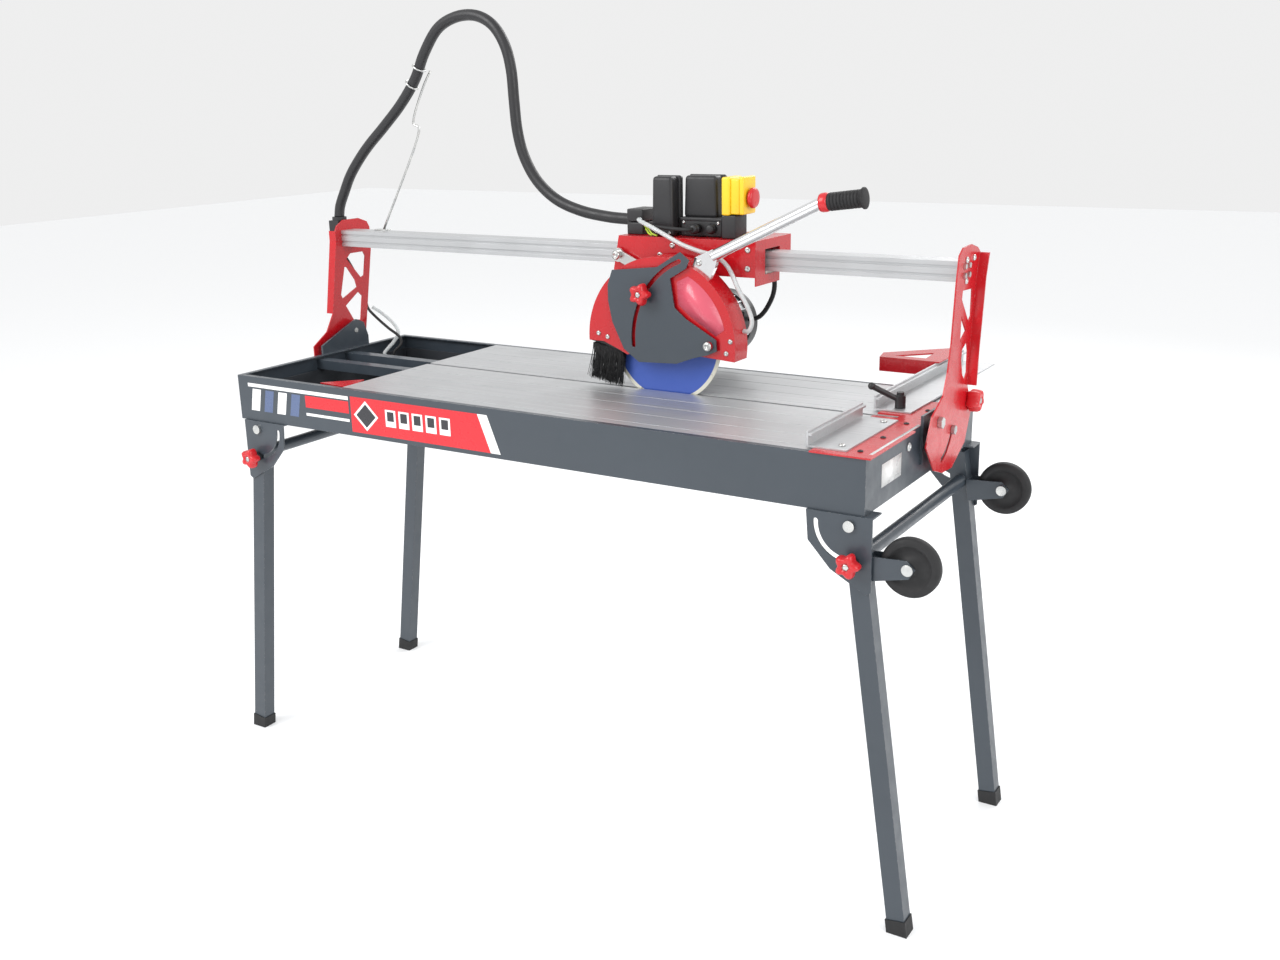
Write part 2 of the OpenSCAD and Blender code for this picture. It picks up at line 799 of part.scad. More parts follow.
module switch_lid() {
    low = [1070 + gap, 342, 1222];
    high = [1080, 394, 1290];
    color("gold") placed() difference() {
        union() {
            box(low, high);
            bar_y([1075, 342, 1290], 4.7, 52);
        }
        box([1069, 346, 1262], [1077, 390, 1284]);
        bar_x([1060, 368, 1253], 6 + gap, 30);
    }
}

module stop_button() {
    color("red") placed() {
        bar_x([1084, 368, 1253], 20, 9);
        bar_x([1073.5, 368, 1253], 6, 11);
    }
}

module start_button() {
    color("green") placed() bar_x([1065, 368, 1275], 8, 8);
}

// Cutting head

module head_frame() {
    color("lightgray") placed() difference() {
        union() {
            xz(guard_back_y, head_back) difference() {
                polygon([[803.5, 1127], [812.5, 1147], [885, 1114], [960, 1125], [1000, 1128], [1096, 1015],
                    [1096, 985], [1034, 955], [1000, 900], [880, 900], [843, 952], [806, 978], [835, 1060], [868, 1098]]);
                hole_at([blade_x, blade_z], 30);
            }
            bar_y([pivot_x, guard_back_y, pivot_z], 14, head_plate);
        }
        bar_y([pivot_x, guard_back_y - 1, pivot_z], 5 + run, 20);
    }
}

module motor() {
    color("silver") placed() translate([blade_x, 0, blade_z]) {
        difference() {
            union() {
                bar_y([0, motor_front, 0], motor_core_r, cap_start - motor_front);
                for (a = [0:15:345]) rotate([0, a, 0]) box([-1.5, motor_front + 12, 0], [1.5, cap_start - 8, motor_r]);
            }
            bar_y([0, motor_front - 1, 0], 20 + gap, 60);
        }
    }
}

module motor_cap() {
    color("black") placed() {
        bar_y([blade_x, cap_start, blade_z], motor_r - 1, cap_back - cap_start);
        difference() {
            box([blade_x + 50, cap_start - 45, blade_z - 5], [blade_x + motor_r + 6, cap_start - 8, blade_z + 35]);
            bar_y([blade_x, motor_front, blade_z], motor_r + gap, cap_back);
        }
    }
}

module spindle() {
    start = slot_y + blade_thick / 2;
    color("silver") placed() {
        bar_y([blade_x, start, blade_z], 28, 8);
        bar_y([blade_x, start - 1, blade_z], 16, motor_front + 30 - start);
        bar_y([blade_x, start - blade_thick - 8, blade_z], 28, 8);
        bar_y([blade_x, start - blade_thick - 16, blade_z], 9, 18);
    }
}

module blade() {
    count = 12;
    color("steelblue") placed() difference() {
        bar_y([blade_x, slot_y - blade_thick / 2, blade_z], blade_r, blade_thick);
        bar_y([blade_x, slot_y - 10, blade_z], 16, 20);
        for (a = [0:360 / count:359]) rotate_at(a) box([-0.8, slot_y - 5, blade_r - 9], [0.8, slot_y + 5, blade_r + 1]);
    }
}

module rotate_at(a) {
    translate([blade_x, 0, blade_z]) rotate([0, a, 0]) children();
}

module guard_shape(r) {
    intersection() {
        translate([blade_x, blade_z]) circle(r = r, $fn = 96);
        polygon([[700, 1200], [700, 968], [802, 968], [843, 952], [858, 945], [900, 958], [978, 958], [1034, 955],
            [1105, 950], [1125, 965], [1125, 1005], [1095, 1040], [1062, 1140], [1010, 1190]]);
    }
}

// Pivot screw and lock stud of the cover plate, fixed in the guard's front wall
module cover_pins() {
    stud = cover_pivot + cover_slot_r * [cos(cover_stud_angle), sin(cover_stud_angle)];
    back_y = cover_y + cover_thick + gap;
    bar_y([stud[0], cover_y - 20, stud[1]], 4, guard_front_y - cover_y + 20);
    bar_y([stud[0], back_y, stud[1]], 9, guard_front_y - back_y);
    bar_y([cover_pivot[0], cover_y - gap, cover_pivot[1]], 5, guard_front_y - cover_y + gap);
    bar_y([cover_pivot[0], cover_y - gap - 6, cover_pivot[1]], 9, 6);
    bar_y([cover_pivot[0], back_y, cover_pivot[1]], 9, guard_front_y - back_y);
}

module guard() {
    color("red") placed() cover_pins();
    color("red") placed() difference() {
        xz(guard_front_y, guard_back_y) guard_shape(guard_r);
        xz(guard_front_y + guard_wall, guard_back_y + 1) union() {
            guard_shape(guard_r - guard_wall);
            translate([blade_x, blade_z]) circle(r = blade_r + 6);
            translate([858, 900]) square([240, 70]);
        }
    }
}

module brush_flap() {
    color("black") placed() xz(brush_y0, brush_y1)
        polygon([[772, 984], [800, 984], [846, 960], [846, 948], [800, 962], [770.5, 967]]);
}

module brush_bristles() {
    color("black") placed() xz(brush_y0 + 1, brush_y1 - 1)
        polygon([[846, 947.5], [800, 961.5], [771, 966], [744, 874], [852, 874]]);
}

module lever() {
    color("silver") placed() {
        xz(270, 280) difference() {
            polygon([[1004, 1118], [1012, 1146], [1050, 1163], [1064, 1157], [1056, 1128], [1040, 1096]]);
            translate([blade_x, blade_z]) circle(r = guard_r, $fn = 96);
        }
        on_lever() cylinder(r = lever_d / 2, h = 252);
    }
}

module on_lever() {
    translate(lever_start) rotate([0, 90 - lever_tilt, 0]) children();
}

module lever_grip() {
    color("black") placed() difference() {
        translate(lever_end) rotate([0, 83, 0]) {
            cylinder(r = 16, h = 80);
            for (z = [0:10:70]) translate([0, 0, z]) cylinder(r = 18, h = 6);
            translate([0, 0, 80]) cylinder(r = 20, h = 5);
        }
        on_lever() cylinder(r = lever_d / 2, h = 252);
    }
}

module water_hose() {
    color("lightcyan") placed() cord(water_hose_points, 4.5, [0, 1, 0], 10);
}

module motor_lead() {
    color("black") placed() cord(motor_lead_points, motor_lead_r, [1, 0, 0], 8);
}

// Cover plate and its lock

module cover_plate() {
    color("slategray") placed() {
        xz(cover_y, cover_y + cover_thick) difference() {
            polygon([[831, 1115], [820, 1085], [820, 1053], [829, 1011], [855, 958], [890, 934], [978, 938],
                [1015, 952], [1048, 961], [1068, 970], [1066, 992], [1000, 1028], [974, 1049], [965, 1105],
                [1001, 1126], [1008, 1142], [988, 1157], [936, 1126]]);
            translate(cover_pivot) circle(r = 5 + run);
            translate(cover_pivot) arc_slot(cover_slot_r, 4.5, 112, 184);
        }
    }
}

module cover_knob() {
    stud = cover_pivot + cover_slot_r * [cos(cover_stud_angle), sin(cover_stud_angle)];
    color("red") placed() translate([stud[0], cover_y - gap, stud[1]]) rotate([90, 0, 0]) {
        difference() {
            cylinder(r = 11, h = 8);
            translate([0, 0, -1]) cylinder(r = 4 + run, h = 10);
        }
        translate([0, 0, 8]) star_knob(knob_r, 22, 4);
    }
}

tray_frame();
water_tub();
inner_rails();
table_plate_front();
table_plate_rear();
bay_plate();
tray_brackets();
tray_bolts();
pump();
pump_hose();
pump_cable();
fence_base();
fence_front();
fence_rear();
fence_lever();
tile_stop();
left_legs();
left_feet();
right_legs();
right_feet();
left_leg_bolts();
right_leg_bolts();
leg_knob_lf();
leg_knob_lr();
leg_knob_rf();
leg_knob_rr();
wheel_front();
wheel_rear();
tower_left();
tower_right();
beam();
bridge_bolts();
conduit_socket();
conduit();
wire_support();
tilt_knob();
carriage();
carriage_pins();
top_roller_l();
top_roller_r();
beam_pads();
electric_boxes();
switch_body();
switch_lid();
stop_button();
start_button();
head_frame();
motor();
motor_cap();
spindle();
blade();
guard();
brush_flap();
brush_bristles();
lever();
lever_grip();
water_hose();
motor_lead();
cover_plate();
cover_knob();
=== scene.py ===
"""Looks of a wet tile saw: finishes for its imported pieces, smooth cords, knobs, bristles, screws and trim."""

import json
import math

import bmesh
import bpy
from mathutils import Matrix, Vector


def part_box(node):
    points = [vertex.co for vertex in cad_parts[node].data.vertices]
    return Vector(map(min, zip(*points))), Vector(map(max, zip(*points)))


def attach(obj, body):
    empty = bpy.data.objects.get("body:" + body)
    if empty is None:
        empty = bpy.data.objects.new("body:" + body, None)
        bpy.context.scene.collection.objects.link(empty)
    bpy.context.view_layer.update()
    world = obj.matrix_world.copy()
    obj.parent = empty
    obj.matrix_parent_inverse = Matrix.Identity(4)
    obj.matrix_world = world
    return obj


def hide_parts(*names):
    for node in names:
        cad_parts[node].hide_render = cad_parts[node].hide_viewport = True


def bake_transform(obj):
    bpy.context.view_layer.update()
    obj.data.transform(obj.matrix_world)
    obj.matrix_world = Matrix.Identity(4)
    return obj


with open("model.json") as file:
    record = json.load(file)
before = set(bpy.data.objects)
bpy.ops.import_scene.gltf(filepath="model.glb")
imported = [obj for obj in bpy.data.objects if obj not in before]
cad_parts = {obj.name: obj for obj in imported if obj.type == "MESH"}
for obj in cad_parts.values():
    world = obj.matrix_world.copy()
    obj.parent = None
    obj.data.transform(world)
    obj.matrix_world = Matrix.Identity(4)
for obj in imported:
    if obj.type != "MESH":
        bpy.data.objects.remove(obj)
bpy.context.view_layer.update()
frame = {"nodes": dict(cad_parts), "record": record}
NODES = frame["nodes"]

# Places are given in millimetres from the tray's front left corner, with heights above the floor.
MM = 0.001
TRAY_LOW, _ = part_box("tray_frame")
TRAY_CORNER = Vector((TRAY_LOW.x, TRAY_LOW.y, 0.0))


def at(x, y, z):
    """A place in the frame, in metres, from millimetres off the tray's corner."""
    return TRAY_CORNER + Vector((x, y, z)) * MM


# ---------------------------------------------------------------- camera and light

EYE = at(2270.4, -1934.6, 1457.9)
YAW, PITCH, ROLL = math.radians(32.3), math.radians(16.6), math.radians(-1.24)
LENS_MM = 36.82


def add_camera():
    """The camera, turned by yaw, pitch and roll about its own place."""
    ahead = Vector((-math.sin(YAW) * math.cos(PITCH), math.cos(YAW) * math.cos(PITCH), -math.sin(PITCH)))
    level = Vector((math.cos(YAW), math.sin(YAW), 0.0))
    above = level.cross(ahead)
    right = level * math.cos(ROLL) + above * math.sin(ROLL)
    up = above * math.cos(ROLL) - level * math.sin(ROLL)
    camera = bpy.data.objects.new("camera", bpy.data.cameras.new("camera"))
    camera.matrix_world = Matrix.Translation(EYE) @ Matrix((right, up, -ahead)).transposed().to_4x4()
    camera.data.lens = LENS_MM
    camera.data.sensor_width = 36.0
    camera.data.clip_end = 60.0
    bpy.context.scene.collection.objects.link(camera)
    bpy.context.scene.camera = camera


def add_lamp(name, place, aim, size, watts):
    """A square soft box pointing at a place on the machine."""
    lamp = bpy.data.lights.new(name, "AREA")
    lamp.size = size
    lamp.energy = watts
    holder = bpy.data.objects.new(name, lamp)
    holder.location = place
    holder.rotation_euler = (Vector(aim) - Vector(place)).to_track_quat("-Z", "Y").to_euler()
    bpy.context.scene.collection.objects.link(holder)


def add_studio():
    """Pale floor that glows a little, pale surroundings and three soft boxes."""
    world = bpy.data.worlds.new("studio")
    world.use_nodes = True
    world.node_tree.nodes["Background"].inputs["Color"].default_value = (1.0, 1.0, 1.0, 1.0)
    world.node_tree.nodes["Background"].inputs["Strength"].default_value = 0.86
    bpy.context.scene.world = world
    bpy.context.scene.view_settings.view_transform = "Standard"
    middle = (0.0, 0.0, 0.9)
    add_lamp("key_box", (-1.8, -3.2, 3.6), middle, 2.6, 120.0)
    add_lamp("fill_box", (3.6, -1.2, 2.4), middle, 2.2, 45.0)
    add_lamp("rim_box", (0.6, 3.2, 3.4), middle, 2.4, 70.0)
    floor_mesh = bpy.data.meshes.new("studio_floor")
    reach = 14.0
    corners = [(-reach, -reach, 0), (reach, -reach, 0), (reach, reach, 0), (-reach, reach, 0)]
    floor_mesh.from_pydata(corners, [], [(0, 1, 2, 3)])
    floor = bpy.data.objects.new("studio_floor", floor_mesh)
    bpy.context.scene.collection.objects.link(floor)
    paper = bpy.data.materials.new("floor_paper")
    paper.use_nodes = True
    paper.node_tree.nodes["Principled BSDF"].inputs["Base Color"].default_value = (0.86, 0.87, 0.88, 1.0)
    paper.node_tree.nodes["Principled BSDF"].inputs["Roughness"].default_value = 0.7
    paper.node_tree.nodes["Principled BSDF"].inputs["Emission Color"].default_value = (1.0, 1.0, 1.0, 1.0)
    paper.node_tree.nodes["Principled BSDF"].inputs["Emission Strength"].default_value = 0.16
    floor_mesh.materials.append(paper)


add_camera()
add_studio()

# ---------------------------------------------------------------- materials


class Finish:
    """One material being built, with short ways to add and join its nodes."""

    def __init__(self, name):
        self.material = bpy.data.materials.new(name)
        self.material.use_nodes = True
        self.tree = self.material.node_tree
        self.shader = self.tree.nodes["Principled BSDF"]

    def add(self, kind, **values):
        node = self.tree.nodes.new(kind)
        for key, value in values.items():
            if key in node.inputs:
                node.inputs[key].default_value = value
            else:
                setattr(node, key, value)
        return node

    def join(self, out, into):
        self.tree.links.new(out, into)

    def place(self, stretch=(1.0, 1.0, 1.0)):
        """Object coordinates, stretched along each axis."""
        where = self.add("ShaderNodeTexCoord")
        scale = self.add("ShaderNodeMapping")
        scale.inputs["Scale"].default_value = stretch
        self.join(where.outputs["Object"], scale.inputs["Vector"])
        return scale.outputs["Vector"]

    def noise(self, scale, detail=4.0, stretch=(1.0, 1.0, 1.0)):
        texture = self.add("ShaderNodeTexNoise")
        texture.inputs["Scale"].default_value = scale
        texture.inputs["Detail"].default_value = detail
        self.join(self.place(stretch), texture.inputs["Vector"])
        return texture.outputs["Fac"]

    def remap(self, value, low, high, to_low, to_high):
        node = self.add("ShaderNodeMapRange")
        for socket, number in zip(("From Min", "From Max", "To Min", "To Max"), (low, high, to_low, to_high)):
            node.inputs[socket].default_value = number
        self.join(value, node.inputs["Value"])
        return node.outputs["Result"]

    def mix(self, share, first, second):
        """Blends two colours, each an output socket or an (r, g, b) value."""
        node = self.add("ShaderNodeMix", data_type="RGBA")
        self.join(share, node.inputs[0])
        for socket, colour in ((node.inputs[6], first), (node.inputs[7], second)):
            if isinstance(colour, tuple):
                socket.default_value = (*colour, 1.0)
            else:
                self.join(colour, socket)
        return node.outputs[2]

    def times(self, first, second):
        node = self.add("ShaderNodeMath", operation="MULTIPLY")
        self.join(first, node.inputs[0])
        self.join(second, node.inputs[1])
        return node.outputs["Value"]

    def edge_share(self, grain=160.0):
        """How worn a place is: high along raised edges, broken up by grain."""
        shape = self.add("ShaderNodeNewGeometry")
        rounded = self.add("ShaderNodeBevel")
        rounded.samples = 4
        rounded.inputs["Radius"].default_value = 0.0011
        likeness = self.add("ShaderNodeVectorMath", operation="DOT_PRODUCT")
        self.join(shape.outputs["Normal"], likeness.inputs[0])
        self.join(rounded.outputs["Normal"], likeness.inputs[1])
        edge = self.remap(likeness.outputs["Value"], 0.97, 0.80, 0.0, 0.75)
        patchy = self.remap(self.noise(grain, 3.0), 0.50, 0.64, 0.0, 1.0)
        return self.times(edge, patchy)

    def bump(self, height, strength, distance=0.0004):
        node = self.add("ShaderNodeBump")
        node.inputs["Strength"].default_value = strength
        node.inputs["Distance"].default_value = distance
        self.join(height, node.inputs["Height"])
        soft = self.add("ShaderNodeBevel")
        soft.samples = 4
        soft.inputs["Radius"].default_value = 0.0009
        self.join(soft.outputs["Normal"], node.inputs["Normal"])
        self.join(node.outputs["Normal"], self.shader.inputs["Normal"])

    def settle(self, colour, rough, metallic=0.0, coat=0.0):
        """Wires colour and roughness to the shader and sets what is even over the surface."""
        self.join(colour, self.shader.inputs["Base Color"])
        self.join(rough, self.shader.inputs["Roughness"])
        self.shader.inputs["Metallic"].default_value = metallic
        self.shader.inputs["Coat Weight"].default_value = coat
        self.shader.inputs["Coat Roughness"].default_value = 0.12


def shade(colour, factor):
    return tuple(min(1.0, c * factor) for c in colour)


def powder_coat(name, colour, rough=0.38, bare=(0.42, 0.42, 0.43)):
    """Stoved paint with orange peel, dust in broad patches and metal showing at worn corners."""
    f = Finish(name)
    dusty = f.remap(f.noise(3.2, 5.0), 0.4, 0.7, 0.0, 0.55)
    paint = f.mix(dusty, colour, shade(colour, 1.16))
    worn = f.mix(f.edge_share(), paint, bare)
    f.bump(f.noise(900.0, 2.0), 0.16)
    f.settle(worn, f.remap(f.noise(38.0, 5.0), 0.3, 0.7, rough - 0.07, rough + 0.12), coat=0.28)
    return f.material


def gloss_paint(name, colour):
    return powder_coat(name, colour, rough=0.24, bare=(0.40, 0.38, 0.37))


def drawn_metal(name, colour, rough, stretch, metallic=1.0, lines=420.0):
    """Extruded or rolled metal with fine lines along its length and faint handling marks."""
    f = Finish(name)
    streak = f.noise(lines, 3.0, stretch)
    smudge = f.remap(f.noise(9.0, 5.0), 0.35, 0.7, 0.0, 0.7)
    tone = f.mix(smudge, colour, shade(colour, 0.86))
    lined = f.mix(f.remap(streak, 0.35, 0.65, 0.0, 0.35), tone, shade(colour, 0.78))
    f.bump(streak, 0.05, 0.0002)
    f.settle(lined, f.remap(streak, 0.3, 0.7, rough - 0.08, rough + 0.12), metallic)
    return f.material


def moulded_plastic(name, colour, rough, grain=700.0, strength=0.22, coat=0.0):
    """Moulded plastic with spark-eroded grain and paler rubbed edges."""
    f = Finish(name)
    cloudy = f.remap(f.noise(14.0, 4.0), 0.35, 0.7, 0.0, 0.6)
    body = f.mix(cloudy, colour, shade(colour, 1.25))
    rubbed = f.mix(f.edge_share(220.0), body, tuple(0.75 * c + 0.07 for c in colour))
    f.bump(f.noise(grain, 2.0), strength)
    f.settle(rubbed, f.remap(f.noise(60.0, 4.0), 0.3, 0.7, rough - 0.06, rough + 0.1), coat=coat)
    return f.material


def zinc_plate(name):
    """Bright zinc on steel, faintly cloudy."""
    f = Finish(name)
    cloud = f.remap(f.noise(45.0, 6.0), 0.35, 0.68, 0.0, 1.0)
    f.bump(f.noise(500.0, 2.0), 0.08)
    tone = f.mix(cloud, (0.66, 0.66, 0.64), (0.52, 0.53, 0.53))
    f.settle(tone, f.remap(cloud, 0.0, 1.0, 0.22, 0.38), 1.0)
    return f.material


def clear_tube(name):
    """Water hose: clear PVC with a milky wall."""
    f = Finish(name)
    milk = f.remap(f.noise(70.0, 4.0), 0.3, 0.7, 0.0, 1.0)
    f.bump(f.noise(300.0, 2.0), 0.05)
    f.settle(f.mix(milk, (0.80, 0.83, 0.83), (0.68, 0.72, 0.73)), f.remap(milk, 0.0, 1.0, 0.12, 0.22))
    f.shader.inputs["Transmission Weight"].default_value = 0.35
    f.shader.inputs["IOR"].default_value = 1.45
    return f.material


def ringed_disc(name, middle, rings, fallback):
    """Colour by distance from an axis along Y. rings are (radius, colour) pairs from the outside in, each laid
    over the ones before it.
    """
    f = Finish(name)
    where = f.add("ShaderNodeTexCoord")
    shift = f.add("ShaderNodeMapping")
    shift.inputs["Location"].default_value = (-middle.x, 0.0, -middle.z)
    shift.inputs["Scale"].default_value = (1.0, 0.0, 1.0)
    f.join(where.outputs["Object"], shift.inputs["Vector"])
    away = f.add("ShaderNodeVectorMath", operation="LENGTH")
    f.join(shift.outputs["Vector"], away.inputs[0])
    distance = away.outputs["Value"]
    colour = f.mix(f.remap(f.noise(40.0, 5.0), 0.3, 0.7, 0.0, 0.5), fallback, shade(fallback, 0.8))
    for radius, tone in rings:
        inside = f.remap(distance, radius - 0.0004, radius + 0.0004, 1.0, 0.0)
        colour = f.mix(inside, colour, tone)
    scratch = f.noise(260.0, 3.0)
    f.bump(scratch, 0.2)
    f.settle(colour, f.remap(scratch, 0.3, 0.7, 0.28, 0.5), 0.15)
    return f.material


SLATE = (0.040, 0.052, 0.066)
RED = (0.50, 0.006, 0.012)
INK = (0.012, 0.012, 0.013)
BLADE_LOW, BLADE_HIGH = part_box("blade")
BLADE_AXIS = (BLADE_LOW + BLADE_HIGH) / 2
FINISHES = {
    "slate": powder_coat("slate_powder_coat", SLATE),
    "red_metal": gloss_paint("red_stoved_paint", RED),
    "aluminium": drawn_metal("mill_aluminium", (0.58, 0.59, 0.60), 0.40, (0.006, 1.0, 1.0), 0.7),
    "zinc": zinc_plate("zinc_plated_steel"),
    "chrome": drawn_metal("chromed_tube", (0.86, 0.86, 0.87), 0.14, (0.2, 1.0, 0.2)),
    "black_plastic": moulded_plastic("black_moulding", (0.018, 0.018, 0.020), 0.42),
    "red_plastic": moulded_plastic("red_moulding", (0.55, 0.008, 0.014), 0.30, coat=0.3),
    "yellow_plastic": moulded_plastic("yellow_moulding", (0.86, 0.56, 0.02), 0.32, coat=0.2),
    "green_plastic": moulded_plastic("green_moulding", (0.03, 0.38, 0.09), 0.30),
    "rubber": moulded_plastic("black_rubber", INK, 0.62, 420.0, 0.35),
    "clear_hose": clear_tube("clear_water_hose"),
    "tub": moulded_plastic("tub_moulding", (0.03, 0.034, 0.040), 0.5),
    "motor_grey": drawn_metal("cast_motor_case", (0.47, 0.49, 0.50), 0.42, (1.0, 0.3, 1.0), 0.6, 200.0),
    "nylon": moulded_plastic("nylon_pad", (0.72, 0.70, 0.64), 0.45),
    "blue_blade": ringed_disc(
        "disc_faces",
        BLADE_AXIS,
        [(0.1175, (0.045, 0.10, 0.42)), (0.040, (0.55, 0.56, 0.57))],
        (0.72, 0.70, 0.60),
    ),
}
FINISHES["decal_white"] = moulded_plastic("white_film", (0.86, 0.86, 0.85), 0.28)
FINISHES["decal_blue"] = moulded_plastic("blue_film", (0.10, 0.14, 0.26), 0.28)
FINISHES["decal_red"] = moulded_plastic("red_film", (0.68, 0.02, 0.03), 0.28)
FINISHES["decal_ink"] = moulded_plastic("dark_film", (0.03, 0.03, 0.035), 0.30)
# Paler pink for the guard's front plate: a painted reflection, not a colour of its own
FINISHES["reflection_red"] = moulded_plastic("painted_guard_reflection", (0.66, 0.10, 0.15), 0.22, coat=0.3)
FINISHES["earth_wire"] = moulded_plastic("green_yellow_wire", (0.45, 0.62, 0.05), 0.4)

SLOT_OF = {entry["node"]: entry["material_slot"] for entry in frame["record"]["subparts"]}
for node, slot in SLOT_OF.items():
    NODES[node].material_slots[0].material = FINISHES[slot]

# ---------------------------------------------------------------- mesh helpers


def new_piece(name, mesh, slot, body, finish=None):
    """A finished mesh as its own object, painted with its finish, or with its slot's finish when none is given,
    and riding on a body.
    """
    for face in mesh.polygons:
        face.use_smooth = True
    mesh.materials.clear()
    mesh.materials.append(FINISHES[finish or slot])
    piece = bpy.data.objects.new(name, mesh)
    bpy.context.scene.collection.objects.link(piece)
    if body:
        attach(piece, body)
    return piece


def mesh_of(shape, name):
    """The mesh of a bmesh, with its faces turned outwards."""
    bmesh.ops.remove_doubles(shape, verts=shape.verts, dist=1e-6)
    bmesh.ops.recalc_face_normals(shape, faces=shape.faces)
    mesh = bpy.data.meshes.new(name)
    shape.to_mesh(mesh)
    shape.free()
    return mesh


def smooth_route(points, per_stretch=6):
    """Points of one smooth curve through all of the given points."""
    ends = [points[0] * 2 - points[1]] + list(points) + [points[-1] * 2 - points[-2]]
    route = []
    for a, b, c, d in zip(ends, ends[1:], ends[2:], ends[3:]):
        for step in range(per_stretch):
            t = step / per_stretch
            curve = 2 * b + (c - a) * t + (2 * a - 5 * b + 4 * c - d) * t * t + (3 * b - a - 3 * c + d) * t**3
            route.append(curve / 2)
    route.append(points[-1].copy())
    return route


def tube_mesh(name, route, radius_at, sides=20):
    """A closed tube along a route, whose radius is a function of the share of the way along it."""
    shape = bmesh.new()
    rings = []
    side = Vector((0.31, 0.17, 0.93)).normalized()
    for i, place in enumerate(route):
        ahead = (route[min(i + 1, len(route) - 1)] - route[max(i - 1, 0)]).normalized()
        side = (side - ahead * side.dot(ahead)).normalized()
        other = ahead.cross(side)
        radius = radius_at(i / (len(route) - 1))
        ring = []
        for k in range(sides):
            turn = 2 * math.pi * k / sides
            ring.append(shape.verts.new(place + (side * math.cos(turn) + other * math.sin(turn)) * radius))
        rings.append(ring)
    for first, second in zip(rings, rings[1:]):
        for k in range(sides):
            shape.faces.new((first[k], first[(k + 1) % sides], second[(k + 1) % sides], second[k]))
    shape.faces.new(rings[0])
    shape.faces.new(rings[-1])
    return mesh_of(shape, name)


def turned_mesh(name, profile, place, axis, sides=48, lobes=0, lobe_depth=0.0):
    """A turned shape from (radius, height) pairs about an axis, with optional lobes round its rim."""
    shape = bmesh.new()
    turn_to = Vector((0, 0, 1)).rotation_difference(Vector(axis)).to_matrix()
    rings = []
    for radius, height in profile:
        ring = []
        for k in range(sides):
            turn = 2 * math.pi * k / sides
            waved = radius * (1 + lobe_depth * (math.cos(lobes * turn) - 1) / 2) if lobes else radius
            point = Vector((waved * math.cos(turn), waved * math.sin(turn), height))
            ring.append(shape.verts.new(place + turn_to @ point))
        rings.append(ring)
    for first, second in zip(rings, rings[1:]):
        for k in range(sides):
            shape.faces.new((first[k], first[(k + 1) % sides], second[(k + 1) % sides], second[k]))
    shape.faces.new(rings[0])
    shape.faces.new(rings[-1])
    return mesh_of(shape, name)


# ---------------------------------------------------------------- cords

CORD_Y = 395
CONDUIT_R, HOSE_R, PUMP_LEAD_R, MOTOR_LEAD_R = 0.0118, 0.0044, 0.0034, 0.0049
SWITCH_LEAD_R, EARTH_WIRE_R, PROP_WIRE_R, HOOP_WIRE_R = 0.0036, 0.0017, 0.0028, 0.0021
CONDUIT_XZ = [(-42, 1180), (-36, 1205), (-20, 1235), (10, 1283), (62, 1338), (125, 1390), (180, 1438),
              (226, 1490), (258, 1545), (300, 1594), (352, 1616), (407, 1617), (452, 1596), (482, 1555),
              (496, 1504), (500, 1442), (505, 1380), (520, 1326), (552, 1275), (602, 1236), (665, 1214),
              (730, 1204), (780, 1201), (818, 1201)]
WIRE_XZ = [(78, 1151), (203, 1363), (193, 1398), (227, 1469), (253, 1507)]
PUMP_HOSE = [(-28, 468, 952), (-8, 480, 936), (22, 486, 912), (40, 482, 890), (42, 462, 872), (42, 442, 860),
             (42, 426, 850), (42, 424, 837)]
PUMP_CABLE = [(-53, 400, 1106), (-52, 404, 1096), (-46, 424, 1060), (-38, 446, 1010), (-34, 453, 972),
              (-28, 454, 950), (-6, 456, 930), (28, 460, 905), (60, 462, 886), (68, 458, 868), (60, 442, 852),
              (58, 440, 837)]
WATER_HOSE = [(841, 348.6, 1206), (843, 340, 1206), (858, 328, 1203), (886, 318, 1195), (920, 312, 1182),
              (960, 306, 1166), (1002, 304, 1154), (1040, 304, 1146), (1068, 304, 1124), (1090, 303, 1084),
              (1110, 302, 1052), (1120, 301, 1026), (1114.8, 300, 1007.4), (1102.2, 300, 1005.1)]
MOTOR_LEAD = [(1060, 440, 1128), (1078, 446, 1112), (1092, 452, 1086), (1088, 458, 1056), (1070, 468, 1026),
              (1050, 480, 1006), (1032, 490, 996), (1014.5, 494, 992)]


def add_cord(name, node, points, radius, slot, body):
    """A smooth cord in place of its packed stand-in."""
    route = smooth_route([at(*p) for p in points])
    cord = new_piece(name, tube_mesh(name, route, lambda share: radius), slot, body)
    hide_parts(node)
    return cord


conduit_points = [(x, CORD_Y, z) for x, z in CONDUIT_XZ]
conduit = add_cord("cable_conduit", "conduit", conduit_points, CONDUIT_R, "black_plastic", None)
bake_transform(conduit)
add_cord("pump_water_hose", "pump_hose", PUMP_HOSE, HOSE_R, "clear_hose", "table")
add_cord("pump_supply_lead", "pump_cable", PUMP_CABLE, PUMP_LEAD_R, "rubber", "table")
water_hose = add_cord("disc_water_hose", "water_hose", WATER_HOSE, HOSE_R, "clear_hose", None)
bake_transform(water_hose)
motor_lead = add_cord("motor_supply_lead", "motor_lead", MOTOR_LEAD, MOTOR_LEAD_R, "rubber", None)
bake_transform(motor_lead)

wire_route = smooth_route([at(x, CORD_Y + 22, z) for x, z in WIRE_XZ])
wire_mesh = tube_mesh("conduit_prop_wire", wire_route, lambda share: PROP_WIRE_R, 12)
prop_wire = new_piece("conduit_prop_wire", wire_mesh, "zinc", "bridge")
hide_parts("wire_support")

# Two hoops of the same wire round the conduit


def hoop_route(middle, along, radius):
    """A nearly closed ring of points about a line along the conduit."""
    along = along.normalized()
    across = Vector((0, 1, 0))
    upward = along.cross(across)
    return [middle + (across * math.cos(t) + upward * math.sin(t)) * radius
            for t in [math.radians(10 + 340 * k / 28) for k in range(29)]]


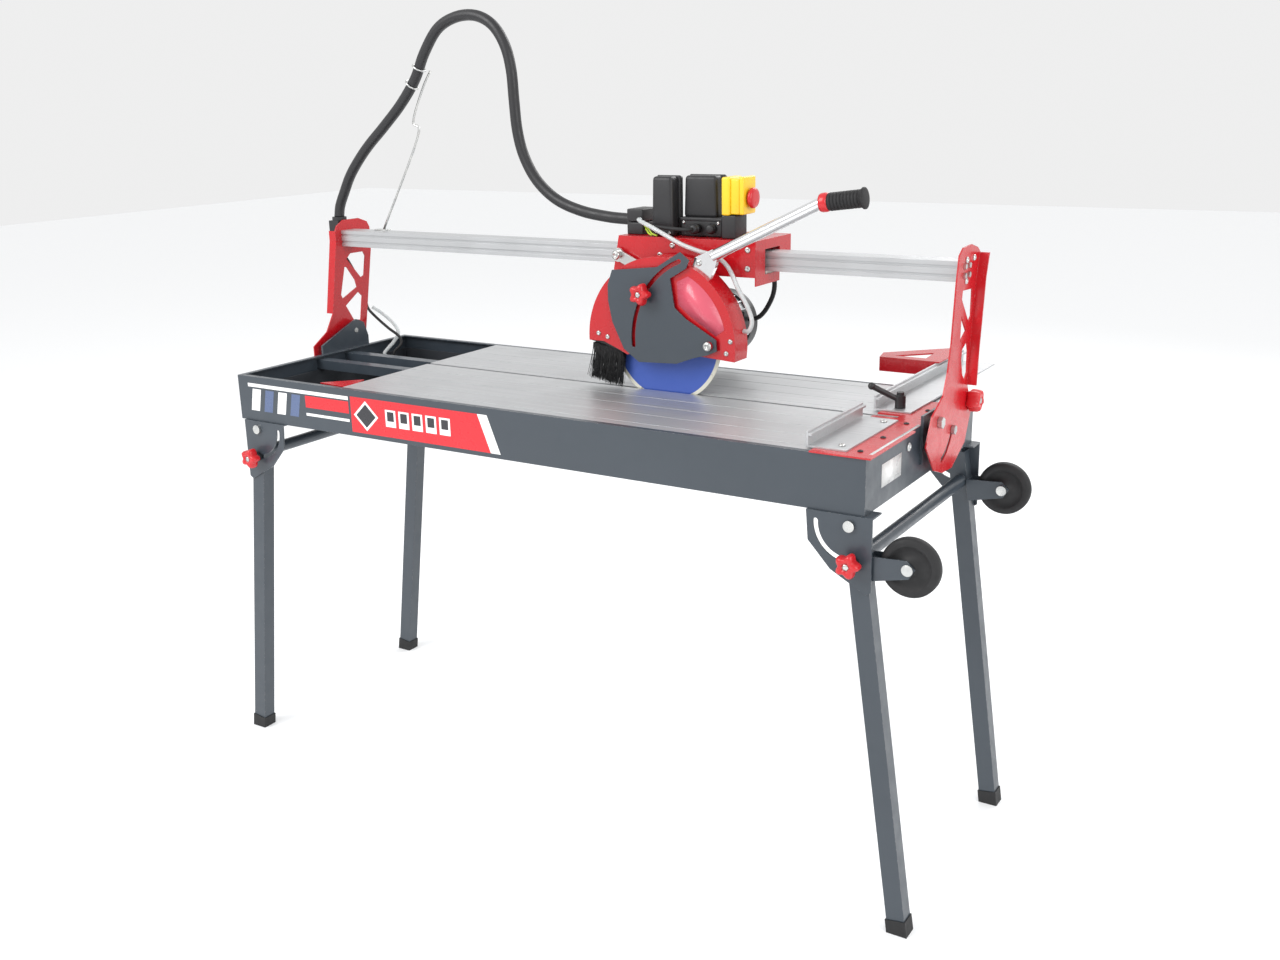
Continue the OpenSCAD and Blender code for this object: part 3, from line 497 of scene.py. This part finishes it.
HOOP_R = 0.0146
HOOPS = (("wire_hoop_low", (216, 1479), (46, 52)), ("wire_hoop_high", (240, 1514), (32, 55)))
for name, (x, z), (dx, dz) in HOOPS:
    hoop = hoop_route(at(x, CORD_Y, z), Vector((dx, 0, dz)), HOOP_R)
    new_piece(name, tube_mesh(name, hoop, lambda share: HOOP_WIRE_R, 10), "zinc", "bridge")


# ---------------------------------------------------------------- knobs and grip


def knob_profile(radius, depth):
    """Rounded side of a hand knob, with a dished face."""
    return [(radius * 0.50, 0.0), (radius * 0.86, 0.0005), (radius * 0.97, depth * 0.14),
            (radius, depth * 0.35), (radius * 0.98, depth * 0.70), (radius * 0.88, depth * 0.92),
            (radius * 0.70, depth), (radius * 0.40, depth * 0.97), (radius * 0.34, depth * 0.90),
            (radius * 0.05, depth * 0.90)]


def add_knob(name, node, body, axis):
    """A five-lobed knob with a black spacer and a zinc washer, in place of its packed stand-in."""
    low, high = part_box(node)
    axis = Vector(axis)
    middle = (low + high) / 2
    length = abs(axis.dot(high - low))
    inner = middle - axis * length / 2
    spacer = 0.012 if node.startswith("leg") else (0.008 if node == "cover_knob" else 0.0)
    depth = length - spacer
    radius = min(0.0228, (high - low).length * 0.36)
    body_mesh = turned_mesh(name, knob_profile(radius, depth), inner + axis * spacer, axis, 80, 5, 0.30)
    knob = new_piece(name, body_mesh, "red_plastic", body)
    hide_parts(node)
    if spacer:
        sleeve = [(0.0045, 0.0), (0.0105, 0.0), (0.0108, spacer * 0.5), (0.0105, spacer), (0.0045, spacer)]
        sleeve_mesh = turned_mesh(name + "_spacer", sleeve, inner, axis, 32)
        new_piece(name + "_spacer", sleeve_mesh, "black_plastic", body)
    washer = [(0.002, -0.0006), (0.0062, -0.0006), (0.0062, 0.0006), (0.002, 0.0006)]
    face = inner + axis * (length - 0.0014)
    new_piece(name + "_cap", turned_mesh(name + "_cap", washer, face - axis * 0.0004, axis, 6), "zinc", body)


FORWARD, BACKWARD = (0, -1, 0), (0, 1, 0)
UPWARD, SIDEWAYS = (0, 0, 1), (1, 0, 0)
add_knob("left_front_leg_knob", "leg_knob_lf", "knob_lf", FORWARD)
add_knob("left_back_leg_knob", "leg_knob_lr", "knob_lr", BACKWARD)
add_knob("right_front_leg_knob", "leg_knob_rf", "knob_rf", FORWARD)
add_knob("right_back_leg_knob", "leg_knob_rr", "knob_rr", BACKWARD)
add_knob("tilt_lock_knob", "tilt_knob", "knob_tilt", SIDEWAYS)
add_knob("cover_lock_knob", "cover_knob", "knob_cover", FORWARD)

GRIP_START, GRIP_TURN = at(1274, 275, 1256), math.radians(83)
GRIP_AXIS = Vector((math.sin(GRIP_TURN), 0.0, math.cos(GRIP_TURN)))


def grip_profile():
    """A soft grip with raised rings, swelling to a stop at its far end."""
    rows = [(0.0112, 0.014), (0.0155, 0.0145), (0.0165, 0.018)]
    for ring in range(9):
        start = 0.020 + ring * 0.0066
        rows += [(0.0165, start), (0.0145, start + 0.0008)]
        rows += [(0.0145, start + 0.0022), (0.0165, start + 0.0030)]
    return rows + [(0.0170, 0.080), (0.0195, 0.0812), (0.0195, 0.0838), (0.0172, 0.0848), (0.004, 0.0848)]


grip_mesh = turned_mesh("lever_hand_grip", grip_profile(), GRIP_START, GRIP_AXIS)
grip = new_piece("lever_hand_grip", grip_mesh, "rubber", "head")
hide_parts("lever_grip")
COLLAR_ROWS = [(0.0108, -0.002), (0.0165, -0.0015), (0.0175, 0.002), (0.0175, 0.011), (0.0160, 0.0142),
               (0.0108, 0.0142)]
collar_mesh = turned_mesh("lever_collar", COLLAR_ROWS, GRIP_START, GRIP_AXIS)
new_piece("lever_collar", collar_mesh, "red_plastic", "head")

# ---------------------------------------------------------------- what repeats: bristles and screws


def repeat_tree(name, with_tilt):
    """Nodes that stand a copy of a shape on every point of a mesh, each turned a little at random."""
    tree = bpy.data.node_groups.new(name, "GeometryNodeTree")
    face = tree.interface
    face.new_socket("Points", in_out="INPUT", socket_type="NodeSocketGeometry")
    inputs = (("Shape", "NodeSocketObject"), ("Finish", "NodeSocketMaterial"), ("Spread", "NodeSocketFloat"),
              ("Size Spread", "NodeSocketFloat"))
    for label, kind in inputs:
        face.new_socket(label, in_out="INPUT", socket_type=kind)
    face.new_socket("Result", in_out="OUTPUT", socket_type="NodeSocketGeometry")
    nodes, link = tree.nodes, tree.links.new
    given, result = nodes.new("NodeGroupInput"), nodes.new("NodeGroupOutput")
    shape = nodes.new("GeometryNodeObjectInfo")
    stand = nodes.new("GeometryNodeInstanceOnPoints")
    lean = nodes.new("FunctionNodeRandomValue")
    lean.data_type = "FLOAT_VECTOR"
    lean.inputs["Seed"].default_value = 7
    size = nodes.new("FunctionNodeRandomValue")
    size.inputs["Seed"].default_value = 11
    flip = nodes.new("ShaderNodeMath")
    flip.operation = "MULTIPLY"
    flip.inputs[1].default_value = -1.0
    least = nodes.new("ShaderNodeMath")
    least.operation = "SUBTRACT"
    least.inputs[0].default_value = 1.0
    real, paint = nodes.new("GeometryNodeRealizeInstances"), nodes.new("GeometryNodeSetMaterial")
    link(given.outputs["Shape"], shape.inputs["Object"])
    link(given.outputs["Points"], stand.inputs["Points"])
    link(shape.outputs["Geometry"], stand.inputs["Instance"])
    link(given.outputs["Spread"], flip.inputs[0])
    link(flip.outputs[0], lean.inputs[0])
    link(given.outputs["Spread"], lean.inputs[1])
    link(given.outputs["Size Spread"], least.inputs[1])
    link(least.outputs[0], size.inputs[2])
    size.inputs[3].default_value = 1.0
    if with_tilt:
        link(lean.outputs[0], stand.inputs["Rotation"])
    link(size.outputs[1], stand.inputs["Scale"])
    link(stand.outputs["Instances"], real.inputs["Geometry"])
    link(real.outputs["Geometry"], paint.inputs["Geometry"])
    link(given.outputs["Finish"], paint.inputs["Material"])
    link(paint.outputs["Geometry"], result.inputs["Result"])
    return tree


BRISTLE_TREE = repeat_tree("stand_bristles", True)
SCREW_TREE = repeat_tree("set_screws", False)


def repeated(name, tree, places, shape_mesh, slot, body, spread=0.0, size_spread=0.0):
    """A plain mesh of one shape stood on every place, made with a node tree."""
    points = bpy.data.meshes.new(name + "_points")
    points.from_pydata([tuple(p) for p in places], [], [])
    carrier = bpy.data.objects.new(name + "_carrier", points)
    shape = bpy.data.objects.new(name + "_shape", shape_mesh)
    for helper in (carrier, shape):
        bpy.context.scene.collection.objects.link(helper)
    modifier = carrier.modifiers.new("repeat", "NODES")
    modifier.node_group = tree
    sockets = {item.name: item.identifier for item in tree.interface.items_tree if item.in_out == "INPUT"}
    modifier[sockets["Shape"]] = shape
    modifier[sockets["Finish"]] = FINISHES[slot]
    modifier[sockets["Spread"]] = spread
    modifier[sockets["Size Spread"]] = size_spread
    view = bpy.context.evaluated_depsgraph_get()
    mesh = bpy.data.meshes.new_from_object(carrier.evaluated_get(view))
    carrier.modifiers.clear()
    for helper in (carrier, shape):
        bpy.data.objects.remove(helper)
    mesh.name = name
    return new_piece(name, mesh, slot, body)


def bristle_places():
    """Roots of the bristles, in rows under the flap's lower edge."""
    low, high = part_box("brush_bristles")
    first, last = at(773, 0, 963), at(845, 0, 950)
    rows, across = 9, 52
    for row in range(rows):
        y = low.y + (high.y - low.y) * (row + 0.5) / rows
        for k in range(across):
            place = first.lerp(last, (k + 0.5 * (row % 2)) / across)
            yield Vector((place.x, y, place.z))


BRISTLE_DOWN = Vector((-0.10, 0.0, -0.995))
BRISTLE_LENGTH, BRISTLE_BEND = 0.076, 0.0016
bristle_route = [BRISTLE_DOWN * (BRISTLE_LENGTH * k / 3) + Vector((-BRISTLE_BEND * k * k / 3, 0, 0))
                 for k in range(4)]
bristle_mesh = tube_mesh("bristle", bristle_route, lambda share: 0.0006 - 0.00025 * share, 5)
roots = list(bristle_places())
bristles = repeated("splash_bristles", BRISTLE_TREE, roots, bristle_mesh, "rubber", "head", 0.10, 0.10)
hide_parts("brush_bristles")


def socket_screw(name, radius, height, axis):
    """A button-head screw with a hex recess, standing on its own origin."""
    rows = [(radius, 0.0), (radius, height * 0.35), (radius * 0.86, height * 0.8), (radius * 0.58, height),
            (radius * 0.48, height), (radius * 0.46, height * 0.45), (radius * 0.03, height * 0.45)]
    return turned_mesh(name, rows, Vector(), axis, 18)


def add_screws(name, places, radius, height, axis, body, slot="zinc"):
    spots = [at(*p) for p in places]
    screw = socket_screw(name + "_one", radius * MM, height * MM, axis)
    return repeated(name, SCREW_TREE, spots, screw, slot, body)


FENCE_SHEET_SCREWS = [(1462, 30, 875), (1462, 130, 875), (1462, 240, 875), (1462, 350, 875)]
GUARD_SCREWS = [(1094, 262, 990), (790, 262, 984), (1085, 262, 966), (812, 262, 978)]
CARRIAGE_SCREWS = [(901, 325, 1140), (1098, 325, 1122), (1098, 325, 1158), (930, 325, 1160)]
BOX_SCREWS = [(880, 341, 1182), (914, 341, 1182), (938, 357.5, 1203), (1016, 357.5, 1203)]
TOWER_SCREWS = [(1505, 400, 1150), (1505, 440, 1150), (1505, 400, 1112)]
add_screws("fence_foot_screws", [(1425, 40, 878.3), (1425, 225, 878.3)], 6, 3.2, UPWARD, "table")
add_screws("fence_sheet_screws", FENCE_SHEET_SCREWS, 5, 2.6, UPWARD, "table", "black_plastic")
add_screws("guard_front_screws", GUARD_SCREWS, 5, 3, FORWARD, "head")
add_screws("cover_pivot_screw", [(1050.6, 248.4, 979.3)], 9.4, 4.5, FORWARD, "head")
add_screws("head_pivot_screw", [(808, 305.6, 1137)], 9.2, 4.5, FORWARD, "trolley")
add_screws("lever_bolts", [(1022, 270, 1136), (1052, 270, 1152)], 6, 4, FORWARD, "head")
add_screws("carriage_front_screws", CARRIAGE_SCREWS, 6, 3.2, FORWARD, "trolley")
add_screws("box_lid_screws", BOX_SCREWS, 3.2, 1.4, FORWARD, "trolley")
add_screws("tower_right_screws", TOWER_SCREWS, 6, 3.5, SIDEWAYS, "bridge")
add_screws("tray_end_screws", [(1485, 192, 847), (1485, 268, 853)], 8, 4, SIDEWAYS, "table")

# ---------------------------------------------------------------- trim and films


def plate_mesh(name, outline, normal, thickness):
    """A thin plate from an outline of points, given its thickness along its normal."""
    shape = bmesh.new()
    lift = Vector(normal) * thickness
    under = [shape.verts.new(p) for p in outline]
    over = [shape.verts.new(p + lift) for p in outline]
    count = len(outline)
    shape.faces.new(under)
    shape.faces.new(over)
    for k in range(count):
        shape.faces.new((under[k], under[(k + 1) % count], over[(k + 1) % count], over[k]))
    return mesh_of(shape, name)


FILM_THICK = 0.12


def add_front_film(name, corners, finish, layer=1):
    """A printed film on the tray's front wall, from (x, z) corners. Higher layers lie on lower ones."""
    outline = [at(x, -FILM_THICK * (layer - 1), z) for x, z in corners]
    film = new_piece(name, plate_mesh(name, outline, FORWARD, FILM_THICK * MM), "slate", "table", finish)
    for face in film.data.polygons:
        face.use_smooth = False
    return film


def box_corners(x0, z0, x1, z1):
    return [(x0, z0), (x1, z0), (x1, z1), (x0, z1)]


add_front_film("front_film_bar", box_corners(30, 849, 330, 857), "decal_white")
for index in range(4):
    left = 34 + index * 40
    slanted = [(left, 796), (left + 26, 796), (left + 36, 845), (left + 10, 845)]
    add_front_film(f"front_film_stripe_{index}", slanted, "decal_white" if index % 2 == 0 else "decal_blue")
add_front_film("front_film_red_tab", box_corners(204, 820, 330, 846), "decal_red")
add_front_film("front_film_rule", box_corners(204, 802, 330, 808), "decal_white")
add_front_film("front_film_panel", [(336, 782), (720, 782), (690, 858), (336, 858)], "decal_red")
add_front_film("front_film_edge", [(704, 782), (728, 782), (698, 858), (674, 858)], "decal_white", 2)
add_front_film("front_film_diamond", [(378, 788), (412, 820), (378, 852), (344, 820)], "decal_white", 2)
add_front_film("front_film_diamond_core", [(378, 795), (405, 820), (378, 845), (351, 820)], "decal_ink", 3)
for index in range(5):
    left = 432 + index * 36
    add_front_film(f"front_film_sign_{index}", box_corners(left, 804, left + 28, 840), "decal_white", 2)
    core = box_corners(left + 5, 816, left + 23, 836)
    add_front_film(f"front_film_sign_{index}_core", core, "decal_ink", 3)


# Pale strips of scale marks on the fence sheet
SCALE_LEFT, SCALE_RIGHT, SHEET_TOP = 1482, 1488, 875
for name, low_y, high_y in (("front_scale_strip", 20, 245), ("back_scale_strip", 320, 415)):
    corners = [at(SCALE_LEFT, low_y, SHEET_TOP), at(SCALE_RIGHT, low_y, SHEET_TOP),
               at(SCALE_RIGHT, high_y, SHEET_TOP), at(SCALE_LEFT, high_y, SHEET_TOP)]
    new_piece(name, plate_mesh(name, corners, UPWARD, 0.0002), "red_metal", "table", "decal_white")

# Plate of ratings on the tray's end wall, left blank
rating = [at(1485, 70, 804), at(1485, 159, 804), at(1485, 159, 845), at(1485, 70, 845)]
rating_mesh = plate_mesh("rating_plate_blank", rating, SIDEWAYS, 0.0004)
new_piece("rating_plate_blank", rating_mesh, "zinc", "table", "decal_white")

# ---------------------------------------------------------------- control housings and switch


def rounded_box(name, low, high, round_mm, slot, body, finish=None, taper=0.0):
    """A moulded box with rounded edges, its top drawn in a little by taper."""
    shape = bmesh.new()
    bmesh.ops.create_cube(shape, size=1.0)
    low, high = at(*low), at(*high)
    for vert in shape.verts:
        narrow = 1.0 - taper * (vert.co.z + 0.5)
        spot = Vector((vert.co.x * narrow, vert.co.y * narrow, vert.co.z))
        vert.co = Vector([(low[i] + high[i]) / 2 + spot[i] * (high[i] - low[i]) for i in range(3)])
    edges = list(shape.edges)
    bmesh.ops.bevel(shape, geom=edges, offset=round_mm * MM, segments=4, affect="EDGES", profile=0.5)
    return new_piece(name, mesh_of(shape, name), slot, body, finish)


# Moulded control housings in place of their packed blocks: each has a front half, a rim and a back half
CAPACITOR_LOW, CAPACITOR_HIGH = (872, 340, 1175), (922, 374, 1292)
capacitor = rounded_box("capacitor_housing", CAPACITOR_LOW, CAPACITOR_HIGH, 7, "black_plastic", "trolley",
                        taper=0.10)
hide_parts("electric_boxes")
BLACK_BOXES = (("capacitor_rim", (871, 368, 1175), (924, 374, 1293), 2, 0.0),
               ("capacitor_back", (873, 373, 1175), (922, 386, 1291), 4, 0.0),
               ("terminal_base", (930, 358, 1175), (1024, 438, 1209), 4, 0.0),
               ("terminal_rim", (929, 357, 1205), (1025, 439, 1213), 2.5, 0.0),
               ("relay_housing", (931, 368, 1211), (1008, 402, 1293), 7, 0.07),
               ("relay_rim", (930, 397, 1211), (1010, 403, 1294), 2, 0.0),
               ("relay_back", (932, 402, 1211), (1008, 414, 1292), 4, 0.0),
               ("conduit_clamp_low", (808, 350, 1175), (846, 412, 1199.5), 2.5, 0.0),
               ("conduit_clamp_high", (808, 350, 1201), (846, 412, 1226), 2.5, 0.0))
for name, low, high, rounding, taper in BLACK_BOXES:
    rounded_box(name, low, high, rounding, "black_plastic", "trolley", taper=taper)
for index, (x, y, depth) in enumerate(((970, 334, 24), (1002, 344, 14))):
    rows = [(0.0060, 0.0), (0.0078, 0.001), (0.0092, 0.0035), (0.0092, 0.0085), (0.0104, 0.009),
            (0.0104, 0.013), (0.0092, 0.0135), (0.0092, depth * MM)]
    name = f"cable_gland_{index}"
    new_piece(name, turned_mesh(name, rows, at(x, y, 1192), BACKWARD, 24), "black_plastic", "trolley")
rounded_box("prop_wire_foot", (60, 404, 1150), (96, 422, 1153), 0.8, "zinc", "bridge")
SWITCH_LOW, SWITCH_HIGH = (1032, 340, 1220), (1050, 396, 1293)
switch_box = rounded_box("switch_housing", SWITCH_LOW, SWITCH_HIGH, 4, "yellow_plastic", "trolley")
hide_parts("switch_body")
rounded_box("switch_front", (1049, 345, 1222), (1070, 391, 1290), 3, "yellow_plastic", "trolley")
rounded_box("switch_pedestal", (1030, 344, 1175), (1062, 392, 1220.5), 3, "black_plastic", "trolley")
lid = rounded_box("switch_flap", (1070.4, 342, 1222), (1080, 394, 1294), 3, "yellow_plastic", "lid")
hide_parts("switch_lid")
MUSHROOM_ROWS = [(0.0060, 0.0), (0.0060, 0.009), (0.0165, 0.010), (0.0198, 0.0135), (0.0200, 0.017),
                 (0.0180, 0.0205), (0.0120, 0.0212), (0.0040, 0.0212)]
mushroom_mesh = turned_mesh("stop_mushroom", MUSHROOM_ROWS, at(1072, 368, 1253), SIDEWAYS)
mushroom = new_piece("stop_mushroom", mushroom_mesh, "red_plastic", "stop")
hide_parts("stop_button")

# Soft tyre and dished hub of each wheel
WHEEL_ROWS = [(0.0062, -0.0095), (0.0130, -0.0095), (0.0135, -0.0070), (0.0330, -0.0050), (0.0375, -0.0090),
              (0.0400, -0.0105), (0.0490, -0.0100), (0.0518, -0.0060), (0.0520, 0.0), (0.0518, 0.0060),
              (0.0490, 0.0100), (0.0400, 0.0105), (0.0375, 0.0090), (0.0330, 0.0050), (0.0135, 0.0070),
              (0.0130, 0.0095), (0.0062, 0.0095)]
for node, body in (("wheel_front", "wheel_f"), ("wheel_rear", "wheel_r")):
    low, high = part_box(node)
    wheel_mesh = turned_mesh(node + "_rolled", WHEEL_ROWS, (low + high) / 2, BACKWARD, 64)
    wheel = new_piece(node + "_rolled", wheel_mesh, "rubber", body)
    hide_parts(node)

# Paler pink plate over part of the guard's front: a painted reflection of light on the red guard wall
DISC_X, DISC_Z, GUARD_FRONT_Y = 935.5, 975.5, 262
REFLECTION_RADIUS, REFLECTION_FROM, REFLECTION_TO = 150, 14, 64
rim = [(DISC_X + REFLECTION_RADIUS * math.cos(math.radians(a)), DISC_Z + REFLECTION_RADIUS * math.sin(math.radians(a)))
       for a in range(REFLECTION_TO, REFLECTION_FROM - 1, -5)]
outline = [(976, 1098), *rim, (1062, 998), (1004, 1034), (980, 1054)]
reflection_mesh = plate_mesh("guard_window", [at(x, GUARD_FRONT_Y, z) for x, z in outline], FORWARD, 0.0006)
new_piece("guard_window", reflection_mesh, "red_metal", "head", "reflection_red")

# ---------------------------------------------------------------- short leads on the carriage

# Earth wires from the cable clamp to the carriage's deck
EARTH_A = [(846, 360, 1188), (856, 348, 1186), (868, 336, 1181), (878, 332, 1177)]
EARTH_B = [(846, 356, 1192), (860, 346, 1190), (880, 330, 1181), (892, 330, 1177)]
for name, points in (("earth_wire_left", EARTH_A), ("earth_wire_right", EARTH_B)):
    route = smooth_route([at(*p) for p in points])
    earth_mesh = tube_mesh(name, route, lambda share: EARTH_WIRE_R, 10)
    wire = new_piece(name, earth_mesh, "rubber", "trolley", "earth_wire")

# Switch lead from the clamp to its gland, all on the carriage
SWITCH_LEAD = [(845, 366, 1196), (858, 352, 1196), (880, 334, 1195), (912, 324, 1194), (944, 320, 1193),
               (964, 323, 1192), (970, 334, 1192)]
lead_route = smooth_route([at(*p) for p in SWITCH_LEAD])
lead_mesh = tube_mesh("switch_lead", lead_route, lambda share: SWITCH_LEAD_R, 14)
switch_lead = new_piece("switch_lead", lead_mesh, "rubber", "trolley")
